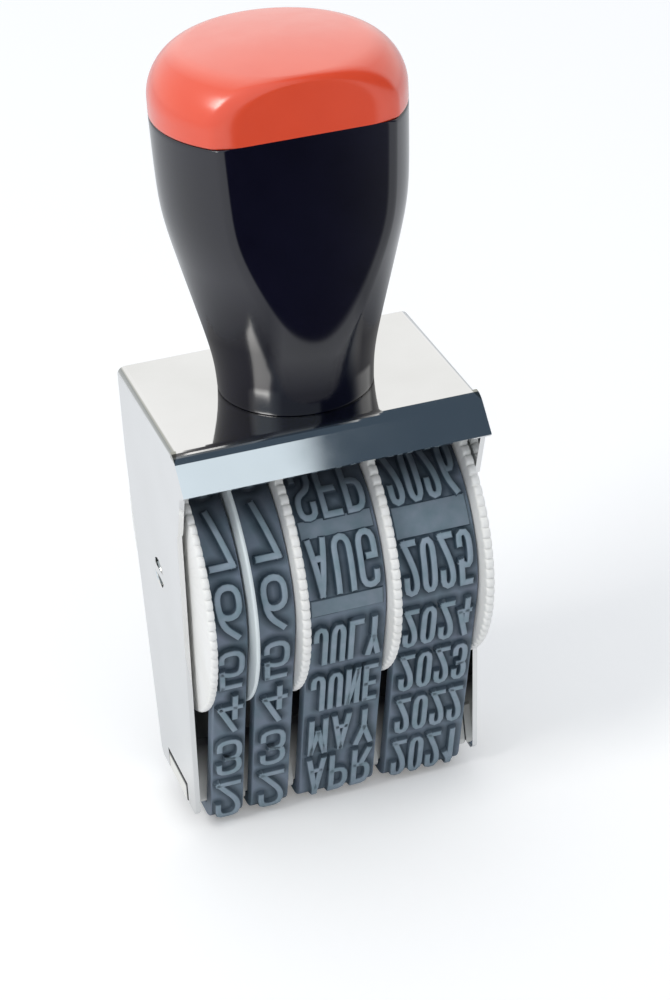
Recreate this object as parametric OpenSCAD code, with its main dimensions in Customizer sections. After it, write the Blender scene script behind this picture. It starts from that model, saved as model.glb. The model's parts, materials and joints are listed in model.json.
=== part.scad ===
// Band date stamp: four rubber type bands run over knurled wheels in a bent steel frame,
// and a flared grip with a bright cap is screwed to the frame's top plate.
// Millimetres. X runs across the bands, the front faces -Y, and the print face is Z = 0.

/* [Bands] */
// Width of the band for the tens of days
tens_band_w = 3.4; // [3:0.05:5]
// Width of the band for the units of days
units_band_w = 3.9; // [3:0.05:5]
// Width of the month band
month_band_w = 7.95; // [6:0.05:10]
// Width of the year band
year_band_w = 8.2; // [6:0.05:10]
// Thickness of a band under its type
band_t = 1.0; // [0.7:0.05:1.4]
// Height of the type above the band
type_h = 0.9; // [0.6:0.05:1.2]
// Number of type positions round a band
type_count = 15; // [12:1:20]
// Gap between neighbouring type blocks
type_gap = 1; // [0.6:0.1:3]

/* [Wheels] */
// Radius of the drum that drives a band
drum_r = 10.5; // [8:0.1:12]
// How far a finger disc stands proud of the type
rim_proud = 1.6; // [0.6:0.1:2.4]
// Thickness of a finger disc
disc_t = 0.85; // [0.7:0.05:2]
// Teeth round a finger disc
knurl_count = 84; // [48:4:120]
// Depth of the knurling
knurl_depth = 0.35; // [0.2:0.05:0.6]
// Share of a tooth that its flat crest takes
knurl_crest = 0.4; // [0.2:0.05:0.6]
// Wall of the hollow drum
drum_wall = 1.2; // [0.8:0.1:2]
// Wall of the hub round the axle
hub_wall = 1.3; // [0.8:0.1:2]
// Diameter of the axle
axle_d = 4; // [3:0.1:5]
// Height of the axle above the print face
axle_z = 27.5; // [25:0.1:32]
// Diameter of the axle's end spigots
spigot_d = 2.9; // [1.8:0.1:3.2]
// Thickness of the flat tongue on a spigot
tongue_t = 0.9; // [0.6:0.1:1.4]
// Thickness of the separator between the day bands
separator_t = 0.4; // [0.3:0.05:0.8]
// How far the separator stays below the finger discs
separator_step = 0.1; // [0.1:0.1:1]

/* [Bridge] */
// Half width of the flat that the print row rests on
nose_y = 3.1; // [2.4:0.1:3.5]
// Radius of the band round the nose's corners
nose_r = 0.7; // [0.5:0.05:1.2]
// Room between the finger discs and the bridge's top
bridge_headroom = 4.2; // [3.5:0.1:7]
// Half depth of the bridge's core at its top
core_top_y = 2.7; // [2.4:0.1:3]
// How far the fins stay below the bridge's top
fin_step = 2.9; // [0.5:0.1:4]
// Half depth of the fins at their top
fin_top_y = 3.5; // [3:0.1:4.2]
// How far the fins stand out between the bands
fin_proud = 0.4; // [0.2:0.1:0.8]
// Depth of the tab that holds the bridge in a side plate
tab_d = 6.4; // [3:0.1:6.6]
// Height of that tab
tab_h = 2; // [1:0.1:2.4]

/* [Frame] */
// Thickness of the steel sheet
sheet_t = 0.5; // [0.4:0.1:0.8]
// Inner radius of the bends into the side plates
bend_r = 0.3; // [0.2:0.1:0.8]
// Distance of the frame's back edge from the axle's plane
back_y = 9.7; // [8:0.1:12]
// Distance from that plane to the start of the front lip's bend
front_y = 8.8; // [8:0.1:11]
// Inner radius of the lip's bend
lip_bend_r = 1.5; // [0.8:0.1:2.5]
// Length of the lip past its bend
lip_len = 3.2; // [2:0.1:5]
// Slope of the lip below the horizontal
lip_angle = 48; // [30:1:60]
// Forward reach of a side plate's corner under the lip
ear_y = 10.8; // [10:0.1:11.2]
// Drop of that corner below the top of the frame
ear_drop = 4; // [3.9:0.1:5]
// Forward reach of a side plate at its shoulder
shoulder_y = 9; // [8:0.1:9.8]
// Step back of the side plate's edge below the shoulder
shoulder_step = 0.45; // [0.2:0.05:1]
// Depth of a side plate at its foot
foot_d = 12.4; // [9:0.1:16]
// Height of the side plates' foot above the print face
foot_z = 2.4; // [2:0.1:4]
// Length of a side plate from its bend to its shoulder
shoulder_h = 8; // [4:0.5:12]
// Corner cut at the foot
foot_chamfer = 0.6; // [0.4:0.1:2]
// Gap above and before the bridge's tab in its notch
notch_gap = 0.4; // [0.1:0.1:0.6]
// Room between the finger discs and the screw head
wheel_headroom = 1; // [0.8:0.1:4]

/* [Handle] */
// Height of the grip
grip_h = 28; // [24:0.5:40]
// Radius of the grip's straight collar
collar_r = 7.4; // [6.5:0.1:8.5]
// Height of the collar
collar_h = 2.8; // [2:0.1:5]
// Height at which the grip's flare ends
flare_h = 18.9; // [15:0.1:22]
// Radius where the flare ends
flare_r = 11.5; // [10:0.05:13]
// Radius of the grip and its cap at their seam
seam_r = 11.75; // [11.4:0.05:14]
// Length over which the flare's two bends are softened
flare_soft = 1.3; // [0.3:0.1:1.5]
// Distance of the flat front panel from the axis
panel_y = 8.5; // [7.5:0.1:9.5]
// Straight wall of the cap above the seam
cap_wall = 1.5; // [1:0.1:3]
// Rounding of the cap's edge
cap_round = 4.5; // [3:0.1:6]
// Rise of the crown above the rounding
crown_h = 0.5; // [0.2:0.1:1.2]
// Rounding of the cap's edge above the panel
front_round = 2.6; // [1:0.1:3]
// Wall of the grip round the cap's plug
plug_wall = 2.6; // [1.5:0.1:4]
// Depth of the cap's plug in the grip
plug_h = 3.5; // [2:0.1:6]
// Diameter of the handle's screw
screw_d = 4; // [3:0.5:5]
// Length of the screw's shank under its head
screw_len = 14; // [10:1:20]
// Diameter of the screw's head
head_d = 7; // [6:0.1:8]
// Height of the screw's head
head_h = 1.6; // [1.2:0.1:3]
// Outer diameter of the lock washer
washer_d = 8; // [7:0.1:10]
// Thickness of the lock washer
washer_t = 0.5; // [0.4:0.1:1.2]

/* [Clearances] */
// Running clearance round the axle
run_gap = 0.05; // [0.02:0.01:0.08]
// Play between pieces along the axle
side_gap = 0.12; // [0.08:0.01:0.25]
// Play left between the first wheel and its side plate
end_gap = 0.3; // [0.1:0.05:0.6]
// Play of a band between its wheel's faces
band_play = 0.1; // [0.05:0.01:0.2]
// Gap between a band and what it runs on
band_gap = 0.12; // [0.08:0.01:0.25]
// Gap between a fin and the bands beside it
fin_gap = 0.25; // [0.15:0.05:0.4]
// Gap round pieces that are fitted by hand
fit_gap = 0.08; // [0.04:0.01:0.15]

/* [Hidden] */
$fn = 96;
eps = 0.01;
arc_steps = 8;
type_steps = 6;
loop_steps = 112;
grip_steps = 28;

// Stack of wheels along the axle, from the left side plate to the right one
tens_drum_w = tens_band_w + 2 * band_play;
units_drum_w = units_band_w + 2 * band_play;
month_drum_w = month_band_w + 2 * band_play;
year_drum_w = year_band_w + 2 * band_play;
day_stack = end_gap + 2 * disc_t + tens_drum_w + units_drum_w + separator_t + 2 * side_gap;
inner_w = day_stack + 2 * disc_t + month_drum_w + year_drum_w + 3 * side_gap;
frame_w = inner_w + 2 * sheet_t;
tens_x = end_gap - inner_w / 2;
separator_x = tens_x + disc_t + tens_drum_w + side_gap;
units_x = separator_x + separator_t + side_gap;
month_x = units_x + units_drum_w + disc_t + side_gap;
year_x = month_x + month_drum_w + disc_t + side_gap;

// Radii round the axle
loop_r = drum_r + band_gap;
type_r = loop_r + band_t + type_h;
disc_r = type_r + rim_proud;
bore_r = axle_d / 2 + run_gap;
hub_r = bore_r + hub_wall;
separator_r = disc_r - separator_step;

// Heights of the frame and the bridge
bend_out = bend_r + sheet_t;
lip_out = lip_bend_r + sheet_t;
plate_under = axle_z + disc_r + wheel_headroom + head_h + washer_t;
frame_h = plate_under + sheet_t;
loop_z = band_t + type_h;
bridge_top = axle_z - disc_r - bridge_headroom;
fin_top = bridge_top - fin_step;
lip_centre = [-front_y, frame_h - lip_out];
lip_shift = -lip_len * [cos(lip_angle), sin(lip_angle)];

// A band's loop: flat nose, corner, straight run and wheel arc, the same on both sides
nose_z = loop_z + nose_r;
run_dr = loop_r - nose_r;
run_rise = axle_z - nose_z;
run_len = sqrt(nose_y * nose_y + run_rise * run_rise - run_dr * run_dr);
run_tilt = atan2(run_rise, nose_y) - atan2(run_len, run_dr);
pitch_off = band_t / 2;
corner_len = (nose_r + pitch_off) * (90 - run_tilt) * PI / 180;
wheel_len = (loop_r + pitch_off) * (90 + run_tilt) * PI / 180;
half_loop = nose_y + corner_len + run_len + wheel_len;
type_pitch = 2 * half_loop / type_count;
type_len = type_pitch - type_gap;
run_start = nose_y + corner_len;

// Slopes of the grip, and the sphere of the cap's crown
flare_slope = (flare_r - collar_r) / (flare_h - collar_h);
top_slope = (seam_r - flare_r) / (grip_h - flare_h);
crown_edge_r = seam_r - cap_round;
crown_r = (crown_edge_r * crown_edge_r + crown_h * crown_h) / (2 * crown_h);
cap_h = cap_wall + cap_round + crown_h;

steel = [0.80, 0.80, 0.78];
dark_steel = [0.45, 0.46, 0.48];
black_plastic = [0.08, 0.08, 0.10];
red_plastic = [0.86, 0.27, 0.17];
white_plastic = [0.93, 0.92, 0.89];
grey_rubber = [0.35, 0.40, 0.44];

// Point of the front half of a band's loop, s along it from the nose's middle, off outwards
function front_point(s, off) =
    s < nose_y ? [-s, loop_z - off]
    : s < run_start ? corner_point((s - nose_y) / (nose_r + pitch_off) * 180 / PI, off)
    : s < run_start + run_len ? run_point(s - run_start, off)
    : wheel_point((s - run_start - run_len) / (loop_r + pitch_off) * 180 / PI, off);
function corner_point(turn, off) =
    [-nose_y - (nose_r + off) * sin(turn), nose_z - (nose_r + off) * cos(turn)];
function run_point(along, off) =
    corner_point(90 - run_tilt, off) + along * [-sin(run_tilt), cos(run_tilt)];
function wheel_point(turn, off) =
    [0, axle_z] + (loop_r + off) * [cos(180 + run_tilt - turn), sin(180 + run_tilt - turn)];

// Point of the whole loop: the back half mirrors the front half
function loop_point(s, off) =
    let (t = s - 2 * half_loop * floor(s / (2 * half_loop)))
    t <= half_loop ? front_point(t, off)
    : let (p = front_point(2 * half_loop - t, off)) [-p[0], p[1]];

// Outer outline of a band: each type block is a step that stands on the band
function type_outline() = [
    for (k = [0:type_count - 1])
        let (first = k * type_pitch - type_len / 2, last = first + type_len)
        each concat(
            [loop_point(first, band_t)],
            [for (j = [0:type_steps]) loop_point(first + type_len * j / type_steps, band_t + type_h)],
            [loop_point(last, band_t)]
        )
];
function inner_outline() =
    [for (j = [0:loop_steps - 1]) loop_point((j - loop_steps / 2) / loop_steps * 2 * half_loop, 0)];

// Points of an arc from one angle to another
function arc_points(centre, r, from, to) =
    [for (j = [0:arc_steps]) let (a = from + (to - from) * j / arc_steps) centre + r * [cos(a), sin(a)]];

// Section of the bridge: the band's two nose corners, then sides that lean in to a flat top
function wedge_outline(off, top_y, top_z) = concat(
    [[-top_y, top_z]],
    arc_points([-nose_y, nose_z], nose_r + off, 180, 270),
    arc_points([nose_y, nose_z], nose_r + off, 270, 360),
    [[top_y, top_z]]
);

// Rim of a finger disc: each tooth is a valley and a flat crest
function rim_point(tooth, depth) =
    (disc_r - depth) * [cos(tooth * 360 / knurl_count), sin(tooth * 360 / knurl_count)];
function knurl_outline() = [
    for (i = [0:knurl_count - 1])
        each [
            rim_point(i, knurl_depth),
            rim_point(i + (1 - knurl_crest) / 2, 0),
            rim_point(i + (1 + knurl_crest) / 2, 0)
        ]
];

// Radius of the grip at a height: a collar, a softened straight flare and a nearly upright top
function soft_ramp(d) = flare_soft * ln(1 + exp(d / flare_soft));
function grip_r(z) =
    collar_r + flare_slope * soft_ramp(z - collar_h) - (flare_slope - top_slope) * soft_ramp(z - flare_h);

// Height of the cap's crown above the seam at a distance from the axis
function crown_z(r) = cap_h - crown_r + sqrt(crown_r * crown_r - r * r);

// Turn an outline in Y and Z into a plate that runs along +X
module along_x(x, length) {
    translate([x, 0, 0]) rotate([90, 0, 90]) linear_extrude(length) children();
}

// Turn what is built along +Z into a piece along +X on the axle's line
module on_axle(x) {
    translate([x, 0, axle_z]) rotate([0, 90, 0]) children();
}

// Square bend between the top plate and a side plate
module side_bend() {
    intersection() {
        difference() {
            circle(bend_out);
            circle(bend_r);
        }
        square(bend_out);
    }
}

// Front lip: a round bend, then a flat that slopes down
module lip() {
    outer = arc_points(lip_centre, lip_out, 90, 90 + lip_angle);
    inner = arc_points(lip_centre, lip_bend_r, 90 + lip_angle, 90);
    polygon(concat(outer, [outer[arc_steps] + lip_shift, inner[0] + lip_shift], inner));
}

// Side plate: it closes the lip's end, steps back at a shoulder and tapers to its foot
module side_outline() {
    top_z = frame_h - bend_out;
    shoulder_z = top_z - shoulder_h;
    half_foot = foot_d / 2;
    under_lip = arc_points(lip_centre, lip_bend_r + sheet_t / 2, 90, 90 + lip_angle);
    polygon(concat(
        [[back_y, top_z], [-front_y, top_z]], under_lip,
        [
            under_lip[arc_steps] + lip_shift, [-ear_y, frame_h - ear_drop],
            [-shoulder_y, shoulder_z], [shoulder_step - shoulder_y, shoulder_z - shoulder_step / 2],
            [-half_foot, foot_z + foot_chamfer], [foot_chamfer - half_foot, foot_z],
            [half_foot - foot_chamfer, foot_z], [half_foot, foot_z + foot_chamfer], [back_y, shoulder_z]
        ]
    ));
}

// Notch in a side plate's foot for the bridge's tab
module notch_outline() {
    translate([-tab_d / 2 - notch_gap, foot_z - eps])
        square([tab_d + notch_gap + fit_gap, tab_h + notch_gap + eps]);
}

module frame() {
    flat_w = frame_w - 2 * bend_out;
    color(steel) difference() {
        union() {
            translate([-flat_w / 2, -front_y, plate_under]) cube([flat_w, front_y + back_y, sheet_t]);
            for (side = [0, 1]) mirror([side, 0, 0]) {
                along_x(frame_w / 2 - sheet_t, sheet_t) side_outline();
                translate([flat_w / 2, back_y, frame_h - bend_out])
                    rotate([90, 0, 0]) linear_extrude(front_y + back_y) side_bend();
            }
            along_x(-frame_w / 2, frame_w) lip();
        }
        on_axle(-frame_w) cylinder(d = spigot_d + 2 * fit_gap, h = 2 * frame_w);
        along_x(-frame_w, 2 * frame_w) notch_outline();
        translate([0, 0, plate_under - eps]) cylinder(d = screw_d + 2 * fit_gap, h = sheet_t + 2 * eps);
    }
}

// Round blank of the grip before its front panel is cut
module grip_blank() {
    rotate_extrude() polygon(concat(
        [[0, 0]], [for (j = [0:grip_steps]) let (z = grip_h * j / grip_steps) [grip_r(z), z]], [[0, grip_h]]
    ));
}

// Everything behind a flat front at a distance from the axis
module behind(y, height) {
    translate([-seam_r * 2, -y, -eps]) cube([seam_r * 4, seam_r * 4, height + 2 * eps]);
}

// D-shaped plug of the cap, or its socket in the grip with a gap round it
module cap_plug(gap, height) {
    intersection() {
        cylinder(r = seam_r - plug_wall + gap, h = height);
        behind(panel_y - plug_wall + gap, height);
    }
}

module handle_grip() {
    pilot_h = screw_len - washer_t - sheet_t + fit_gap;
    color(black_plastic) translate([0, 0, frame_h]) difference() {
        intersection() {
            grip_blank();
            behind(panel_y, grip_h);
        }
        translate([0, 0, -eps]) cylinder(d = screw_d + 2 * fit_gap, h = pilot_h + eps);
        translate([0, 0, grip_h - plug_h - fit_gap]) cap_plug(fit_gap, plug_h + 2 * fit_gap);
    }
}

// Half section of the cap from its wall to its middle: upright wall, round edge and low crown
module cap_section() {
    edge = arc_points([crown_edge_r, cap_wall], cap_round, 0, 90);
    crown = [for (j = [1:arc_steps]) let (r = crown_edge_r * (1 - j / arc_steps)) [r, crown_z(r)]];
    polygon(concat([[0, 0], [seam_r, 0]], edge, crown));
}

// Front of the cap: the panel's flat carries on and rolls into the crown
module cap_front() {
    round_y = front_round - panel_y;
    roll = arc_points([round_y, crown_z(round_y) - front_round], front_round, 180, 90);
    along_x(-2 * seam_r, 4 * seam_r)
        polygon(concat([[-panel_y, 0]], roll, [[round_y, cap_h], [2 * seam_r, cap_h], [2 * seam_r, 0]]));
}

module handle_cap() {
    color(red_plastic) translate([0, 0, frame_h + grip_h]) {
        intersection() {
            rotate_extrude() cap_section();
            cap_front();
        }
        translate([0, 0, -plug_h]) cap_plug(0, plug_h + eps);
    }
}

module handle_screw() {
    color(dark_steel) translate([0, 0, plate_under - washer_t]) {
        translate([0, 0, -head_h]) cylinder(d = head_d, h = head_h);
        cylinder(d = screw_d, h = screw_len);
    }
}

module lock_washer() {
    color(steel) translate([0, 0, plate_under - washer_t]) difference() {
        cylinder(d = washer_d, h = washer_t);
        translate([0, 0, -eps]) cylinder(d = screw_d + 2 * fit_gap, h = washer_t + 2 * eps);
    }
}

// Axle: a rod between the side plates, with a flat tongue in each plate's hole
module wheel_axle() {
    color(steel) on_axle(-inner_w / 2) {
        cylinder(d = axle_d, h = inner_w);
        intersection() {
            translate([0, 0, -sheet_t]) cylinder(d = spigot_d, h = frame_w);
            translate([-tongue_t / 2, -spigot_d, -sheet_t]) cube([tongue_t, 2 * spigot_d, frame_w]);
        }
    }
}

// Wheel built from its finger disc upwards: knurled disc, hollow drum and hub
module wheel(drum_w) {
    difference() {
        union() {
            linear_extrude(disc_t) polygon(knurl_outline());
            cylinder(r = drum_r, h = disc_t + drum_w);
        }
        difference() {
            translate([0, 0, disc_t]) cylinder(r = drum_r - drum_wall, h = drum_w + eps);
            cylinder(r = hub_r, h = disc_t + drum_w + 2 * eps);
        }
        translate([0, 0, -eps]) cylinder(r = bore_r, h = disc_t + drum_w + 2 * eps);
    }
}

// Wheel whose finger disc is on its right
module right_wheel(x, drum_w) {
    color(white_plastic) on_axle(x + drum_w + disc_t) mirror([0, 0, 1]) wheel(drum_w);
}

module tens_wheel() {
    color(white_plastic) on_axle(tens_x) wheel(tens_drum_w);
}

module units_wheel() {
    right_wheel(units_x, units_drum_w);
}

module month_wheel() {
    right_wheel(month_x, month_drum_w);
}

module year_wheel() {
    right_wheel(year_x, year_drum_w);
}

module band_separator() {
    color(white_plastic) on_axle(separator_x) difference() {
        cylinder(r = separator_r, h = separator_t);
        translate([0, 0, -eps]) cylinder(r = bore_r, h = separator_t + 2 * eps);
    }
}

// Rubber band with its row of plain type blocks, from the left face of its drum
module type_band(drum_x, band_w) {
    color(grey_rubber) along_x(drum_x + band_play, band_w) difference() {
        polygon(type_outline());
        polygon(inner_outline());
    }
}

module tens_band() {
    type_band(tens_x + disc_t, tens_band_w);
}

module units_band() {
    type_band(units_x, units_band_w);
}

module month_band() {
    type_band(month_x, month_band_w);
}

module year_band() {
    type_band(year_x, year_band_w);
}

// Fin of the bridge between two faces
module fin(left_face, right_face) {
    along_x(left_face, right_face - left_face) polygon(wedge_outline(fin_proud, fin_top_y, fin_top));
}

// Bridge: the core that the bands turn round, fins that keep them apart and a tab at each end
module bridge() {
    tens_right = tens_x + disc_t + band_play + tens_band_w;
    units_left = units_x + band_play;
    month_left = month_x + band_play;
    year_left = year_x + band_play;
    color(white_plastic) {
        along_x(-inner_w / 2, inner_w) polygon(wedge_outline(-band_gap, core_top_y, bridge_top));
        fin(tens_right + fin_gap, units_left - fin_gap);
        fin(units_left + units_band_w + fin_gap, month_left - fin_gap);
        fin(month_left + month_band_w + fin_gap, year_left - fin_gap);
        fin(year_left + year_band_w + fin_gap, inner_w / 2);
        along_x(-frame_w / 2, frame_w) translate([-tab_d / 2, foot_z]) square([tab_d, tab_h]);
    }
}

frame();
handle_grip();
handle_cap();
handle_screw();
lock_washer();
wheel_axle();
tens_wheel();
units_wheel();
month_wheel();
year_wheel();
band_separator();
tens_band();
units_band();
month_band();
year_band();
bridge();
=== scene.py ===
"""Looks of a band date stamp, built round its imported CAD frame.

Blender holds metres; the sums below are in millimetres, in the CAD frame:
X runs across the bands, -Y is the front and Z rises from the print face.
"""
from collections import namedtuple
import json
import math

import bmesh
import bpy
import numpy as np
from mathutils import Matrix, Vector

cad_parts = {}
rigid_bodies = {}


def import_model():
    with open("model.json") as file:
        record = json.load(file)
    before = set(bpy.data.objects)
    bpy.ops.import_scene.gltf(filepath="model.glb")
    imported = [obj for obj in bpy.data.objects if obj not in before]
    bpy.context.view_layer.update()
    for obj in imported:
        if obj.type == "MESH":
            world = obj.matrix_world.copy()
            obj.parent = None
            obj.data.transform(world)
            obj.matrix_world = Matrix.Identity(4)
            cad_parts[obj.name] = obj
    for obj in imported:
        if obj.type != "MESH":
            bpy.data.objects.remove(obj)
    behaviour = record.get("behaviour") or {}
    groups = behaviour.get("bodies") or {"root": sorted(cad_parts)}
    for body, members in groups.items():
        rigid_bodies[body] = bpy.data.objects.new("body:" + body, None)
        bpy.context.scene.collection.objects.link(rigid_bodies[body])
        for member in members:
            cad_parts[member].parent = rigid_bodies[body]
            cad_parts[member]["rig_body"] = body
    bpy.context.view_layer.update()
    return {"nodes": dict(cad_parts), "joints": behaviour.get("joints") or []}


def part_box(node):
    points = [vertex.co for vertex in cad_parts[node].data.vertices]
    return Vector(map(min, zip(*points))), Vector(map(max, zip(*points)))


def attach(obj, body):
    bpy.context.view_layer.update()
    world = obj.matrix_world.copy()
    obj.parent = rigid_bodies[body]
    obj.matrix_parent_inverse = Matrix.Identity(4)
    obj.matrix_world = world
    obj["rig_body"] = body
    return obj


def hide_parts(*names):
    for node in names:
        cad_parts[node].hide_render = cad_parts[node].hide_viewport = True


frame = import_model()

MM = 0.001
SHARP_ANGLE = math.radians(40)
POLE_GAP = 1e-7
POLE_SLIVER = 1e-8
TINY = 1e-6
LEAST_NORMAL = 1e-9
ARC_STEPS = 5
LEVEL = "level"


def node_box(node):
    """Lowest and highest corner of a CAD node, in millimetres."""
    low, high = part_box(node)
    return np.array(low) / MM, np.array(high) / MM


# Rubber bands: a strip over the wheels and round the nose of the bridge. The CAD's strip and type make up the
# loop; the strip of the looks is thicker, so that the type stands as low on it as real type does.
BAND_T = 1.0
TYPE_H = 0.9
TYPE_ROWS = 15
NOSE_Y = 3.1
NOSE_R = 0.7
AXLE_Z = frame["joints"][0]["pos_m"][2] / MM
TYPE_R = node_box("year_band")[1][1]
LOOP_R = TYPE_R - BAND_T - TYPE_H
LOOP_Z = BAND_T + TYPE_H
NOSE_Z = LOOP_Z + NOSE_R
RISE = AXLE_Z - NOSE_Z
RUN_LEN = math.sqrt(NOSE_Y ** 2 + RISE ** 2 - (LOOP_R - NOSE_R) ** 2)
TILT = math.atan2(RISE, NOSE_Y) - math.atan2(RUN_LEN, LOOP_R - NOSE_R)
MID_T = BAND_T / 2
CORNER_LEN = (NOSE_R + MID_T) * (math.pi / 2 - TILT)
WRAP_LEN = (LOOP_R + MID_T) * (math.pi / 2 + TILT)
HALF_LOOP = NOSE_Y + CORNER_LEN + RUN_LEN + WRAP_LEN
ROW_PITCH = 2 * HALF_LOOP / TYPE_ROWS
STRIP_T = 1.45
BAND_EDGE = 0.16
BAND_EDGE_STEPS = 4
BAND_STEPS = 480
BAND_COLUMN = 0.3

# Raised type: centre lines of plain characters, in a box one wide and one high
LINE, BEND, RING = "line", "bend", "ring"
STEM = (LINE, [(0, 0), (0, 1)])
LETTERS = {
    "0": [(RING, [(0, 0), (1, 0), (1, 1), (0, 1)])],
    "1": [(LINE, [(0.1, 0.74), (0.62, 1)]), (LINE, [(0.62, 1), (0.62, 0)])],
    "2": [(BEND, [(0, 0.7), (0, 1), (1, 1), (1, 0.62), (0, 0)]), (LINE, [(0, 0), (1, 0)])],
    "3": [(BEND, [(0, 0.76), (0, 1), (1, 1), (1, 0.54), (0.4, 0.54)]),
          (BEND, [(0.4, 0.54), (1, 0.54), (1, 0), (0, 0), (0, 0.24)])],
    "4": [(LINE, [(0.7, 1), (0, 0.3)]), (LINE, [(0, 0.3), (1, 0.3)]), (LINE, [(0.72, 0.62), (0.72, 0)])],
    "5": [(LINE, [(0.92, 1), (0.08, 1)]), (LINE, [(0.08, 1), (0.04, 0.56)]),
          (BEND, [(0.04, 0.58), (0.5, 0.66), (1, 0.62), (1, 0), (0, 0), (0, 0.22)])],
    "6": [(RING, [(0, 0), (1, 0), (1, 0.58), (0, 0.58)]), (BEND, [(0.8, 1), (0.1, 0.72), (0, 0.3)])],
    "7": [(LINE, [(0, 1), (1, 1)]), (LINE, [(1, 1), (0.35, 0)])],
    "8": [(RING, [(0.06, 0.53), (0.94, 0.53), (0.94, 1), (0.06, 1)]),
          (RING, [(0, 0), (1, 0), (1, 0.53), (0, 0.53)])],
    "9": [(RING, [(0, 0.42), (1, 0.42), (1, 1), (0, 1)]), (BEND, [(0.2, 0), (0.9, 0.28), (1, 0.7)])],
    "A": [(LINE, [(0, 0), (0.5, 1)]), (LINE, [(0.5, 1), (1, 0)]), (LINE, [(0.2, 0.32), (0.8, 0.32)])],
    "B": [STEM, (BEND, [(0, 1), (0.95, 1), (0.95, 0.54), (0, 0.54)]),
          (BEND, [(0, 0.54), (1, 0.54), (1, 0), (0, 0)])],
    "C": [(BEND, [(1, 0.76), (1, 1), (0, 1), (0, 0), (1, 0), (1, 0.24)])],
    "D": [STEM, (BEND, [(0, 1), (1, 1), (1, 0), (0, 0)])],
    "E": [STEM, (LINE, [(0, 1), (1, 1)]), (LINE, [(0, 0.52), (0.85, 0.52)]), (LINE, [(0, 0), (1, 0)])],
    "F": [STEM, (LINE, [(0, 1), (1, 1)]), (LINE, [(0, 0.52), (0.85, 0.52)])],
    "G": [(BEND, [(1, 0.78), (1, 1), (0, 1), (0, 0), (1, 0), (1, 0.45)]), (LINE, [(1, 0.45), (0.55, 0.45)])],
    "J": [(BEND, [(1, 1), (1, 0), (0, 0), (0, 0.28)])],
    "L": [STEM, (LINE, [(0, 0), (1, 0)])],
    "M": [STEM, (LINE, [(0, 1), (0.5, 0.35)]), (LINE, [(0.5, 0.35), (1, 1)]), (LINE, [(1, 1), (1, 0)])],
    "N": [STEM, (LINE, [(0, 1), (1, 0)]), (LINE, [(1, 0), (1, 1)])],
    "O": [(RING, [(0, 0), (1, 0), (1, 1), (0, 1)])],
    "P": [STEM, (BEND, [(0, 1), (1, 1), (1, 0.46), (0, 0.46)])],
    "R": [STEM, (BEND, [(0, 1), (1, 1), (1, 0.46), (0, 0.46)]), (LINE, [(0.45, 0.46), (1, 0)])],
    "S": [(BEND, [(1, 0.76), (1, 1), (0, 1), (0, 0.56), (1, 0.46), (1, 0), (0, 0), (0, 0.24)])],
    "T": [(LINE, [(0, 1), (1, 1)]), (LINE, [(0.5, 1), (0.5, 0)])],
    "U": [(BEND, [(0, 1), (0, 0), (1, 0), (1, 1)])],
    "V": [(LINE, [(0, 1), (0.5, 0)]), (LINE, [(0.5, 0), (1, 1)])],
    "Y": [(LINE, [(0, 1), (0.5, 0.5)]), (LINE, [(0.5, 0.5), (1, 1)]), (LINE, [(0.5, 0.5), (0.5, 0)])],
}
TYPE_TALL = 5.25
TYPE_WIDEST = 2.6
LETTER_SHARE = 0.83
STROKE_FACE = 0.55
STROKE_DRAFT = 0.22
STROKE_EDGE = 0.08
STROKE_STEP = 0.4
STROKE_SINK = 0.2
BEND_REACH = 1.2
BEND_STEPS = 9
BAR_LEVEL = 0.5
BAR_TONE = 0.91
INK_SHADE_NEAR = 0.5
INK_SHADE_FAR = 1.25

# Rows of type: words, by their place along the loop in row pitches, the lengths of plain bars, and the
# width of a band's rows
DAY_WORDS = {1.0 * place: figure for place, figure in enumerate("1234567890")}
DAY_BARS = {10: 2.5, 11: 2.5, 12: 2.5, 13: 2.5, 14: 2.5}
MONTH_WORDS = {0: "MAR", 1.04: "APR", 1.98: "MAY", 3: "JUNE", 4.05: "JULY", 5.34: "AUG", 6.38: "SEP",
               7.5: "OCT", 8.55: "NOV", 9.6: "DEC", 13: "JAN", 14: "FEB"}
MONTH_BARS = {4.76: 1.1, 5.87: 1.1, 6.95: 1.1, 8.02: 1.1, 9.07: 1.1, 10.6: 2.5, 11.4: 2.5, 12.2: 2.5}
YEAR_WORDS = {0: "2020", 1: "2021", 2: "2022", 3: "2023", 4: "2024", 5.05: "2025", 6.33: "2026",
              7.4: "2027", 8.45: "2028", 9.5: "2029", 10.5: "2030", 11.5: "2031"}
YEAR_BARS = {5.7: 2.3, 12.5: 2.5, 13.25: 2.5, 14: 2.5}
TENS_ROW, UNITS_ROW, MONTH_ROW, YEAR_ROW = 2.6, 2.8, 7.2, 7.4

# Wheels: a knurled finger disc beside a hollow drum, and a thin separator. The knurl's foot below the rim
# and the length over which it fades in are in knurl depths.
DISC_T = 0.85
DRUM_R = 10.5
DRUM_WALL = 1.2
DRUM_ROOT = 0.1
HUB_R = 3.35
BORE_R = 2.05
MOULD_EDGE = 0.12
MOULD_ROUND = 0.3
KNURL_COUNT = 84
KNURL_DEPTH = 0.3
KNURL_STEPS = 10
KNURL_POWER = 3.5
KNURL_FOOT = 2.2
KNURL_FADE = 1.2
TENS_SET_IN = 0.15
SEPARATOR_EDGE = 0.05
SEPARATOR_RIM = 0.17
SEPARATOR_STEPS = 256

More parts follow.
